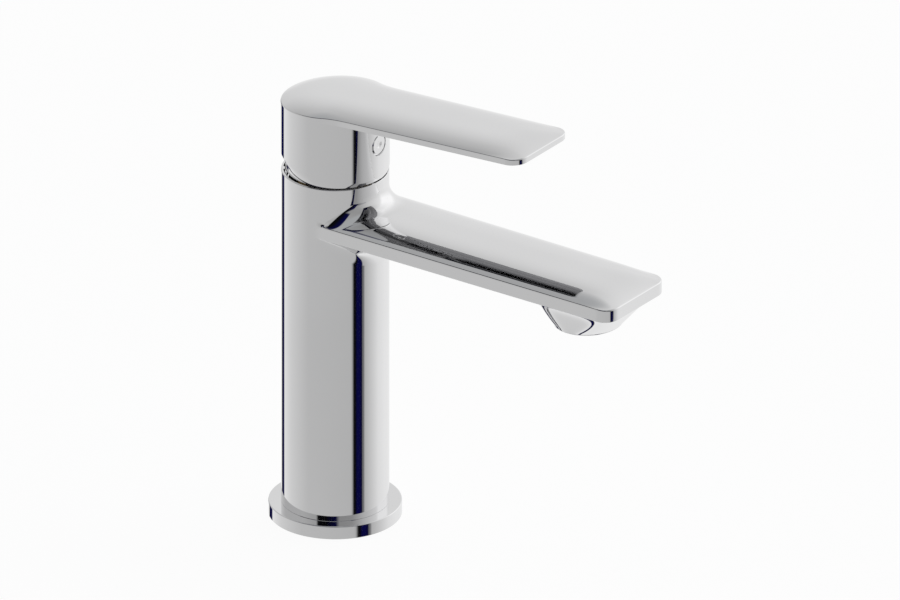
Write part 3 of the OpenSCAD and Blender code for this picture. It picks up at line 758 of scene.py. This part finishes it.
def lever_top(shell):
    """The pillow of the handle's top. Returns its outline, from the +Y side round the rear."""
    radius = HEAD_R - LEVER_EDGE
    centre = shell.put(lever_point(0, 0))
    spokes = []
    for m in range(REAR_SPOKES + 1):
        angle = math.pi / 2 + math.pi * m / REAR_SPOKES
        spoke = []
        for step in FAN_STEPS[FAN + 1:]:
            x, y, _ = polar(radius * math.sin(step), angle, 0)
            x = 0.0 if m in (0, REAR_SPOKES) else x
            spoke.append(shell.put(lever_point(x, y)))
        spokes.append(spoke)
    shell.rows(spokes)
    for a, b in zip(spokes, spokes[1:]):
        shell.faces.append((centre, a[0], b[0]))
    rows = [list(reversed(spokes[-1])) + [centre] + spokes[0]]
    head_x = [LEAVE_X * i / HEAD_COLUMNS for i in range(1, HEAD_COLUMNS + 1)]
    head_x += [mix(LEAVE_X, JOIN_X, i / JOIN_COLUMNS) for i in range(1, JOIN_COLUMNS + 1)]
    for x in head_x:
        rows.append([shell.put(lever_point(x, math.sin(step) * LEVER.width(x))) for step in FAN_STEPS])
    for i in range(1, LEVER_ROWS + 1):
        row = []
        for step in FAN_STEPS:
            share = math.sin(step)
            end_y = share * LEVER.width(LEVER_REACH)
            x = mix(JOIN_X, LEVER.end_x(end_y), spread(i / LEVER_ROWS))
            y = end_y if i == LEVER_ROWS else share * LEVER.width(x)
            row.append(shell.put(lever_point(x, y)))
        rows.append(row)
    shell.rows(rows)
    rear = [spoke[-1] for spoke in spokes]
    right_side = [row[0] for row in rows[1:]]
    left_side = [row[-1] for row in rows[1:]]
    return rear + right_side + rows[-1][1:-1] + list(reversed(left_side))


def lever_point(x, y):
    """A point of the handle's top."""
    return x, y, lever_edge_z(x) + LEVER.rise(x, y)


def lever_rim(shell, outline):
    """The handle's edge below its top. Returns for each point of the outline its column of points."""
    profile = arris(0, 1, PILLOW_SLOPE, LEVER_EDGE)
    low = profile[-1][1]
    profile += [(LEVER_EDGE, mix(low, -LEVER_EDGE_T, j / BAND_ROWS)) for j in range(1, BAND_ROWS + 1)]
    columns = []
    for index in outline:
        point = shell.points[index]
        out_x, out_y = LEVER.outward(point.x, point.y)
        on_head = point.x <= LEAVE_X + NEAR
        column = [index]
        for j, (out, z) in enumerate(profile):
            x = point.x + out_x * out
            normal = (out_x, out_y, 0) if on_head and j >= ARRIS_ROWS - 1 else None
            column.append(shell.put((x, point.y + out_y * out, lever_edge_z(x) + z), normal))
        columns.append(column)
    shell.rows(columns + columns[:1])
    return columns


def head_wall(shell, columns):
    """The head's wall from the lever's underside down to its skirt, with the button's hole in its front.

    Returns the skirt's ring and its azimuths, the points along the lever's root with the wall's points at
    both their ends, and the rim of the stem's socket.
    """
    on_head = [c for c in columns if shell.points[c[0]].x <= LEAVE_X + NEAR]
    start = min(range(len(on_head)), key=lambda i: abs(angle_of(shell, on_head[i][0]) - LEAVE_ANGLE))
    on_head = on_head[start:] + on_head[:start]
    front_angles = [mix(-LEAVE_ANGLE, LEAVE_ANGLE, m / HEAD_FRONT) for m in range(1, HEAD_FRONT)]
    root = []
    for angle in front_angles:
        x, y, _ = polar(HEAD_R, angle, 0)
        root.append(shell.put((x, y, lever_edge_z(x) - LEVER_EDGE_T), outward(angle)))
    tops = root + [c[-1] for c in on_head]
    angles = front_angles + [angle_of(shell, c[0]) for c in on_head]
    rings = [tops]
    for j in range(1, HEAD_ROWS + 1):
        ring = []
        for top, angle in zip(tops, angles):
            x, y, _ = polar(HEAD_R, angle, 0)
            z = mix(shell.points[top].z, SKIRT_Z - SKIRT_FALL * x, j / HEAD_ROWS)
            ring.append(shell.put((x, y, z), outward(angle)))
        rings.append(ring)
    middle = HEAD_FRONT // 2 - 1
    socket = open_wall(shell, rings, middle - PANEL_SIDE, middle + PANEL_SIDE)
    return rings[-1], angles, [on_head[-1][-1]] + root + [on_head[0][-1]], socket


def open_wall(shell, rings, left, right):
    """The wall's faces, with the button's hole between two columns. Returns the socket's rim."""
    count = len(rings[0])
    for j in range(HEAD_ROWS):
        for i in range(count):
            if PANEL_TOP <= j < PANEL_LOW and left <= i < right:
                continue
            k = (i + 1) % count
            shell.faces.append((rings[j][i], rings[j][k], rings[j + 1][k], rings[j + 1][i]))
    around = rings[PANEL_TOP][left:right + 1]
    around += [rings[j][right] for j in range(PANEL_TOP + 1, PANEL_LOW + 1)]
    around += [rings[PANEL_LOW][i] for i in range(right - 1, left - 1, -1)]
    around += [rings[j][left] for j in range(PANEL_LOW - 1, PANEL_TOP, -1)]
    rim, socket = button_hole(shell)
    shell.flat(around, [rim], unrolled)
    return socket


def angle_of(shell, index):
    """A point's azimuth, from 0 to a full turn."""
    point = shell.points[index]
    return math.atan2(point.y, point.x) % math.tau


def ring_along_x(shell, x, radius):
    """A ring round the screw's axis. x is a place, or None for the head's wall."""
    ring = []
    for angle in steps_round(BUTTON_POINTS):
        y = radius * math.cos(angle)
        place = math.sqrt(HEAD_R * HEAD_R - y * y) if x is None else x
        normal = (place, y, 0) if x is None else None
        ring.append(shell.put((place, y, BUTTON_Z + radius * math.sin(angle)), normal))
    return ring


def button_hole(shell):
    """The button's counterbore, the screw's hole and the stem's socket. Returns both their rims."""
    rim = ring_along_x(shell, None, BUTTON_HOLE_R)
    rings = [rim]
    rings.append(ring_along_x(shell, BUTTON_SEAT_X, BUTTON_HOLE_R))
    rings += [ring_along_x(shell, x, SCREW_HOLE_R) for x in (BUTTON_SEAT_X, SOCKET_HALF_W)]
    shell.rows(rings, closed=True)
    w = SOCKET_HALF_W
    corners = [(w, -w), (w, w), (-w, w), (-w, -w)]
    low = shell.line([(x, y, CEILING_Z) for x, y in corners])
    top = shell.line([(x, y, SOCKET_TOP_Z) for x, y in corners])
    shell.flat((low[0], low[1], top[1], top[0]), [rings[-1]], from_front)
    for i in (1, 2, 3):
        k = (i + 1) % 4
        shell.faces.append((low[i], low[k], top[k], top[i]))
    shell.faces.append(tuple(top))
    return rim, low


def head_under(shell, skirt, angles, socket):
    """Chamfer, neck and the hollow over the cartridge. The chamfer grows steeper towards the front."""
    lip, neck = [], []
    for angle, edge in zip(angles, skirt):
        x = NECK_R * math.cos(angle)
        z = max(NECK_LOW_Z + NECK_LEAST, CHAMFER_Z - CHAMFER_FALL * x)
        lean = mix(CHAMFER_REAR, CHAMFER_FRONT, smooth((x + NECK_R) / CHAMFER_RUN))
        inset = lean * (shell.points[edge].z - z)
        lip.append(shell.put(polar(max(NECK_R + 0.02, HEAD_R - inset), angle, z)))
        neck.append(shell.put(polar(NECK_R, angle, z - 0.05), outward(angle)))
    shell.rows([skirt, lip, neck], closed=True)
    hollow = NECK_R - NECK_WALL
    edge_z = NECK_LOW_Z + SMALL_EDGE
    stations = [(NECK_R, edge_z, 1), (NECK_R - SMALL_EDGE, NECK_LOW_Z, 0),
                (hollow + SMALL_EDGE, NECK_LOW_Z, 0), (hollow, edge_z, 0)]
    last = rings_from(shell, neck, angles, stations)
    ceiling = []
    for angle in angles:
        x, y, _ = polar(hollow, angle, 0)
        ceiling.append(shell.put((x, y, CEILING_Z + CEILING_CLIMB * max(0.0, -x))))
    shell.strip(last, ceiling, closed=True)
    shell.flat(ceiling, [socket])


def handle_shell():
    """The handle's casting. The lever's underside goes into shell.under."""
    shell = Shell()
    columns = lever_rim(shell, lever_top(shell))
    skirt, angles, root, socket = head_wall(shell, columns)
    head_under(shell, skirt, angles, socket)
    outline = [c[-1] for c in columns if shell.points[c[0]].x > LEAVE_X + NEAR]
    first = len(shell.faces)
    shell.flat(outline + list(reversed(root)))
    shell.under = set(range(first, len(shell.faces)))
    return shell


def button_shell():
    """The index button: a peg, and a head with a sloping rim and a small dish in the middle of its face."""
    shell = Shell()
    face, radius = BUTTON_HIGH.x, BUTTON_HIGH.y
    peg = SCREW_HOLE_R - PEG_GAP
    stations = [(BUTTON_LOW.x, peg), (BUTTON_SEAT_X, peg), (BUTTON_SEAT_X, radius),
                (face - BUTTON_RIM_DEPTH, radius), (face, radius - BUTTON_RIM_W)]
    for k in range(DISH_ROWS):
        dish = DISH_R * (1 - k / DISH_ROWS)
        stations.append((face - DISH_DEPTH * (1 - (dish / DISH_R) ** 2), dish))
    rings = [ring_along_x(shell, x, r) for x, r in stations]
    shell.rows(rings, closed=True)
    shell.flat(rings[0], spread_out=from_front)
    shell.flat(rings[-1], spread_out=from_front)
    return shell


# ---- base ring

RING_EDGE = 0.35
RING_POINTS = 144
RING_FIT = 0.02  # between the bore and the O-ring
FOOT_SEAL_W = 3.0


def ring_shell():
    """The base ring: a flat top with a small rounded edge, a bore, and the groove for the foot seal."""
    shell = Shell()
    seal = box_mm("foot_seal")[1]
    bore = box_mm("ring_o_ring")[1].y + RING_FIT
    outer, top = RING_HIGH.y, RING_HIGH.z
    groove_out = seal.y + FIT
    groove_in = seal.y - FOOT_SEAL_W - FIT
    angles = steps_round(RING_POINTS)
    first = [shell.put(polar(outer, angle, SMALL_EDGE), outward(angle)) for angle in angles]
    edge = [(outer - RING_EDGE * (1 - math.cos(a)), top - RING_EDGE * (1 - math.sin(a)), 0)
            for a in quarter(5)]
    stations = [(outer, top - RING_EDGE, 1)] + edge + [
        (outer - RING_EDGE - 0.05, top, 0), (bore + SMALL_EDGE, top, 0), (bore, top - SMALL_EDGE, 0),
        (bore, SMALL_EDGE, 0), (bore + SMALL_EDGE, 0, 0), (groove_in, 0, 0), (groove_in, seal.z, 0),
        (groove_out, seal.z, 0), (groove_out, 0, 0), (outer - SMALL_EDGE, 0, 0)]
    last = rings_from(shell, first, angles, stations)
    shell.strip(last, first, closed=True)
    return shell


# ---- camera, light and floor

VIEW_AZIMUTH = math.radians(35.4)
VIEW_HEIGHT = math.radians(25.2)
FRAME_WIDTH = 0.3362  # what the image's 900 pixels span, in metres
CENTRE_RIGHT = 0.04288  # the image's centre, from the origin
CENTRE_UP = 0.0789
CAMERA_AWAY = 1.5


def camera():
    """A camera without perspective, at the photograph's viewing angle."""
    data = bpy.data.cameras.new("camera")
    data.type = "ORTHO"
    data.ortho_scale = FRAME_WIDTH
    data.clip_end = 10
    obj = bpy.data.objects.new("camera", data)
    bpy.context.scene.collection.objects.link(obj)
    right = Vector((math.cos(VIEW_AZIMUTH), math.sin(VIEW_AZIMUTH), 0))
    back = Vector((math.sin(VIEW_AZIMUTH) * math.cos(VIEW_HEIGHT),
                   -math.cos(VIEW_AZIMUTH) * math.cos(VIEW_HEIGHT), math.sin(VIEW_HEIGHT)))
    up = back.cross(right)
    obj.location = right * CENTRE_RIGHT + up * CENTRE_UP + back * CAMERA_AWAY
    obj.rotation_euler = back.to_track_quat("Z", "Y").to_euler()
    bpy.context.scene.camera = obj


def linked(tree, kind, **sockets):
    """A node whose inputs are set by name, to a value or to another node's output."""
    made = tree.nodes.new(kind)
    for name, value in sockets.items():
        plug(tree, made.inputs[name.replace("_", " ")], value)
    return made


def plug(tree, socket, value):
    """Sets an input to a value, or links it to another node's output."""
    if isinstance(value, bpy.types.NodeSocket):
        tree.links.new(value, socket)
    else:
        socket.default_value = value


def filled(tree, kind, *values):
    """A node whose inputs are set in order."""
    made = tree.nodes.new(kind)
    for socket, value in zip(made.inputs, values):
        plug(tree, socket, value)
    return made


def calc(tree, operation, *values, clamp=False):
    """A Math node's output."""
    made = filled(tree, "ShaderNodeMath", *values)
    made.operation = operation
    made.use_clamp = clamp
    return made.outputs[0]


def ramp(tree, factor, stops):
    """A colour ramp. stops are (place, grey or colour) pairs."""
    made = tree.nodes.new("ShaderNodeValToRGB")
    plug(tree, made.inputs[0], factor)
    elements = made.color_ramp.elements
    while len(elements) < len(stops):
        elements.new(0.5)
    for element, (place, colour) in zip(elements, stops):
        element.position = place
        tint = colour if isinstance(colour, tuple) else (colour, colour, colour)
        element.color = (*tint, 1)
    return made.outputs[0]


def mixed(tree, factor, a, b):
    """Goes from colour a to colour b as the factor goes from 0 to 1."""
    made = tree.nodes.new("ShaderNodeMix")
    made.data_type = "RGBA"
    plug(tree, made.inputs["Factor"], factor)
    plug(tree, made.inputs[6], a if isinstance(a, bpy.types.NodeSocket) else (*a, 1))
    plug(tree, made.inputs[7], b if isinstance(b, bpy.types.NodeSocket) else (*b, 1))
    return made.outputs[2]


NAVY = (0.003, 0.003, 0.055)
BLACK = (0.003, 0.003, 0.004)
# How bright the studio's walls are, by degrees round from the camera, at three heights above the horizon.
# The values were chosen from readings of the photograph's reflections, and rounded.
WALLS_LOW = [(-180, 0.9), (-160, 0.95), (-157, BLACK), (-150, NAVY), (-141, NAVY), (-138, 0.9),
             (-108, 0.73), (-60, 0.57), (33, 0.53), (36, 0.46), (40, BLACK), (44, BLACK), (48, NAVY),
             (59, NAVY), (61, 0.46), (75, 0.6), (105, 0.87), (130, 0.93), (180, 0.9)]
WALLS_MIDDLE = [(-180, 0.82), (-132, 0.58), (-72, 0.57), (-48, 0.48), (-12, 0.46), (12, 0.32), (36, 0.36),
                (60, 0.6), (98, 0.9), (106, 1.15), (140, 1.15), (152, 0.95), (180, 0.82)]
WALLS_HIGH = [(-180, 0.7), (-132, 0.44), (-48, 0.41), (48, 0.32), (75, 0.48), (100, 0.85), (130, 1.0),
              (180, 0.7)]
CEILING = (0.42, 0.43, 0.44)
GROUND = (0.7, 0.7, 0.7)
# Between which degrees of height one level gives way to the next
GROUND_TO_LOW = (-89, -84)
LOW_TO_MIDDLE = (-14, 6)
MIDDLE_TO_HIGH = (22, 44)
HIGH_TO_CEILING = (50, 66)
# A dark gap between the studio's lights lies between two planes: a plane's normal and its offset
GAP_LOW = ((0.165, 0.547, 0.821), 0.136)
GAP_HIGH = ((-0.262, 0.701, 0.663), 0.205)
GAP_SHARPNESS = 30.0
GAP_TURN = [(-142, 0.0), (-92, 1.0), (68, 1.0), (76, 0.0)]
GAP_BACK_TURN = [(2, 0.0), (10, 1.0)]  # beyond these degrees it ends at the height of GAP_BACK_TOP
GAP_BACK_TOP = (6, 14)


def by_turn(tree, around, stops):
    """A ramp round the studio. stops are (degrees, value) pairs."""
    return ramp(tree, around, [(0.5 + degrees / 360, value) for degrees, value in stops])


def step_up(tree, height, start, end):
    """Rises from 0 to 1 between two heights in degrees."""
    return ramp(tree, height, [(0.5 + start / 180, 0.0), (0.5 + end / 180, 1.0)])


def over_plane(tree, direction, plane):
    """How far a direction lies beyond a plane."""
    normal, offset = plane
    made = filled(tree, "ShaderNodeVectorMath", direction, normal)
    made.operation = "DOT_PRODUCT"
    return calc(tree, "SUBTRACT", made.outputs["Value"], offset)


def dark_gap(tree, direction, around, height, light):
    """The studio's light with the dark gap in it, black at its lower side and navy at its upper one."""
    low = over_plane(tree, direction, GAP_LOW)
    high = calc(tree, "MULTIPLY", over_plane(tree, direction, GAP_HIGH), -1.0)
    sides = [calc(tree, "MULTIPLY", side, GAP_SHARPNESS, clamp=True) for side in (low, high)]
    between = calc(tree, "MULTIPLY", *sides)
    above = step_up(tree, height, *GAP_BACK_TOP)
    behind = calc(tree, "MULTIPLY", by_turn(tree, around, GAP_BACK_TURN), above)
    shown = calc(tree, "MULTIPLY", by_turn(tree, around, GAP_TURN), calc(tree, "SUBTRACT", 1.0, behind))
    width = calc(tree, "ADD", calc(tree, "ADD", low, high), 0.001)
    colour = ramp(tree, calc(tree, "DIVIDE", low, width, clamp=True), [(0.35, BLACK), (0.9, NAVY)])
    return mixed(tree, calc(tree, "MULTIPLY", between, shown), light, colour)


def studio_world():
    """A soft studio with dark gaps between its lights, which the chrome mirrors. The camera sees white."""
    studio = bpy.data.worlds.new("studio")
    bpy.context.scene.world = studio
    studio.use_nodes = True
    tree = studio.node_tree
    direction = tree.nodes.new("ShaderNodeTexCoord").outputs["Generated"]
    turned = tree.nodes.new("ShaderNodeVectorRotate")
    turned.rotation_type = "Z_AXIS"
    plug(tree, turned.inputs["Vector"], direction)
    turned.inputs["Angle"].default_value = math.pi / 2 - VIEW_AZIMUTH
    parts = linked(tree, "ShaderNodeSeparateXYZ", Vector=turned.outputs[0])
    azimuth = calc(tree, "ARCTAN2", parts.outputs[1], parts.outputs[0])
    around = calc(tree, "MULTIPLY_ADD", azimuth, 1 / math.tau, 0.5)
    height = calc(tree, "MULTIPLY_ADD", calc(tree, "ARCSINE", parts.outputs[2]), 1 / math.pi, 0.5)
    light = mixed(tree, step_up(tree, height, *GROUND_TO_LOW), GROUND, by_turn(tree, around, WALLS_LOW))
    light = mixed(tree, step_up(tree, height, *LOW_TO_MIDDLE), light, by_turn(tree, around, WALLS_MIDDLE))
    light = mixed(tree, step_up(tree, height, *MIDDLE_TO_HIGH), light, by_turn(tree, around, WALLS_HIGH))
    light = mixed(tree, step_up(tree, height, *HIGH_TO_CEILING), light, CEILING)
    light = dark_gap(tree, turned.outputs[0], around, height, light)
    rays = tree.nodes.new("ShaderNodeLightPath")
    seen = mixed(tree, rays.outputs["Is Camera Ray"], light, (1.0, 1.0, 1.0))
    plug(tree, tree.nodes["Background"].inputs["Color"], seen)


FLOOR_SIZE = 4
FLOOR_TINT = (0.1, 0.1, 0.1, 1)
FLOOR_GLOW = (0.93, 0.93, 0.93, 1)


def floor():
    """A plain white floor that keeps a faint shadow. The chrome mirrors the studio through it."""
    bpy.ops.mesh.primitive_plane_add(size=FLOOR_SIZE, location=(0, 0, 0))
    plane = bpy.context.object
    plane.name = "floor"
    material = bpy.data.materials.new("floor")
    material.use_nodes = True
    tree = material.node_tree
    tree.nodes.remove(tree.nodes["Principled BSDF"])
    diffuse = linked(tree, "ShaderNodeBsdfDiffuse", Color=FLOOR_TINT)
    glow = linked(tree, "ShaderNodeEmission", Color=FLOOR_GLOW)
    both = filled(tree, "ShaderNodeAddShader", diffuse.outputs[0], glow.outputs[0])
    clear = tree.nodes.new("ShaderNodeBsdfTransparent")
    mirrored = tree.nodes.new("ShaderNodeLightPath").outputs["Is Glossy Ray"]
    choice = filled(tree, "ShaderNodeMixShader", mirrored, both.outputs[0], clear.outputs[0])
    plug(tree, tree.nodes["Material Output"].inputs["Surface"], choice.outputs[0])
    plane.data.materials.append(material)


# ---- materials

CHROME_TINTS = [(0.3, (0.79, 0.79, 0.795)), (0.7, (0.815, 0.815, 0.82))]
CHROME_CLOUDS = 18.0
# Painted shade: the lever's underside gets a much darker tint than the chrome
UNDERSIDE_SHADE_TINTS = [(0.3, (0.13, 0.13, 0.135)), (0.7, (0.3, 0.3, 0.31))]
UNDERSIDE_STREAKS = (6, 90, 6)  # along the lever, across it and up


def new_material(name):
    """A material with its node tree and its shader."""
    material = bpy.data.materials.new(name)
    material.use_nodes = True
    tree = material.node_tree
    return material, tree, tree.nodes["Principled BSDF"]


def object_noise(tree, scale, detail=2.0):
    """Noise fixed to the piece, from 0 to 1."""
    place = tree.nodes.new("ShaderNodeTexCoord").outputs["Object"]
    return linked(tree, "ShaderNodeTexNoise", Vector=place, Scale=scale, Detail=detail).outputs[0]


def coat(tree, shader, noise, tints, unevenness, roughness):
    """A tint and a roughness that change a little with the noise."""
    plug(tree, shader.inputs["Base Color"], ramp(tree, noise, tints))
    plug(tree, shader.inputs["Roughness"], calc(tree, "MULTIPLY_ADD", noise, unevenness, roughness))


def chrome(name):
    """Polished chrome plate: an almost even tint and gloss, with a trace of polishing unevenness."""
    material, tree, shader = new_material(name)
    shader.inputs["Metallic"].default_value = 1.0
    coat(tree, shader, object_noise(tree, CHROME_CLOUDS), CHROME_TINTS, 0.03, 0.02)
    return material


def painted_shade_chrome(name):
    """The lever's underside, with painted shade: a tint much darker than the polished chrome, streaked along
    the lever.
    """
    material, tree, shader = new_material(name)
    shader.inputs["Metallic"].default_value = 1.0
    place = tree.nodes.new("ShaderNodeTexCoord").outputs["Object"]
    stretched = linked(tree, "ShaderNodeMapping", Vector=place, Scale=UNDERSIDE_STREAKS).outputs[0]
    streaks = linked(tree, "ShaderNodeTexNoise", Vector=stretched, Scale=1.0, Detail=2.0).outputs[0]
    coat(tree, shader, streaks, UNDERSIDE_SHADE_TINTS, 0.04, 0.04)
    return material


def plain(name, low, high, roughness, metallic=0.0):
    """Rubber, plastic, ceramic or bare metal: a slight change of tint and a fine grain."""
    material, tree, shader = new_material(name)
    shader.inputs["Metallic"].default_value = metallic
    grain = object_noise(tree, 400.0, 4.0)
    coat(tree, shader, grain, [(0.35, low), (0.65, high)], 0.15, roughness)
    relief = linked(tree, "ShaderNodeBump", Strength=0.02, Distance=0.0002, Height=grain)
    plug(tree, shader.inputs["Normal"], relief.outputs[0])
    return material


def dress(node_names, material):
    """Gives CAD nodes a material."""
    for name in node_names:
        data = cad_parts[name].data
        data.materials.clear()
        data.materials.append(material)


bpy.context.scene.view_settings.view_transform = "Standard"
camera()
studio_world()
floor()
CHROME = chrome("chrome")
body = body_shell().build("body_casting", CHROME)
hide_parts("body")
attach(body, "fixed_body")

# The lever's underside gets the darker material, which is painted shade
handle = handle_shell().build("handle_casting", CHROME, painted_shade_chrome("chrome_underside_painted_shade"))
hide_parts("handle")
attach(handle, "lever")

button = button_shell().build("button", CHROME)
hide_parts("index_button")
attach(button, "lever")

ring = ring_shell().build("base_ring_turned", CHROME)
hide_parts("base_ring")
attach(ring, "fixed_body")

dress(["ring_o_ring", "foot_seal", "port_seals", "disc_seals", "aerator_seal"],
      plain("rubber", (0.012, 0.012, 0.013), (0.03, 0.03, 0.032), 0.5))
dress(["cartridge_housing", "cartridge_base"],
      plain("white_plastic", (0.66, 0.66, 0.64), (0.74, 0.74, 0.72), 0.35))
dress(["disc_carrier", "stem_rotor"], plain("grey_plastic", (0.2, 0.21, 0.22), (0.26, 0.27, 0.28), 0.4))
dress(["fixed_disc", "moving_disc"], plain("ceramic", (0.78, 0.77, 0.74), (0.85, 0.84, 0.82), 0.12))
dress(["stem", "pivot_pin", "slip_washer"],
      plain("steel", (0.5, 0.5, 0.51), (0.58, 0.58, 0.59), 0.25, metallic=1.0))
dress(["set_screw"], plain("dark_steel", (0.08, 0.08, 0.09), (0.13, 0.13, 0.14), 0.35, metallic=1.0))
dress(["retaining_nut"], plain("brass", (0.4, 0.28, 0.12), (0.5, 0.36, 0.16), 0.3, metallic=1.0))
dress(["aerator_housing", "aerator_screens", "aerator_grid"],
      plain("aerator_plastic", (0.3, 0.31, 0.32), (0.38, 0.39, 0.4), 0.35))
dress(["flow_regulator"], plain("green_plastic", (0.05, 0.25, 0.1), (0.08, 0.32, 0.14), 0.4))
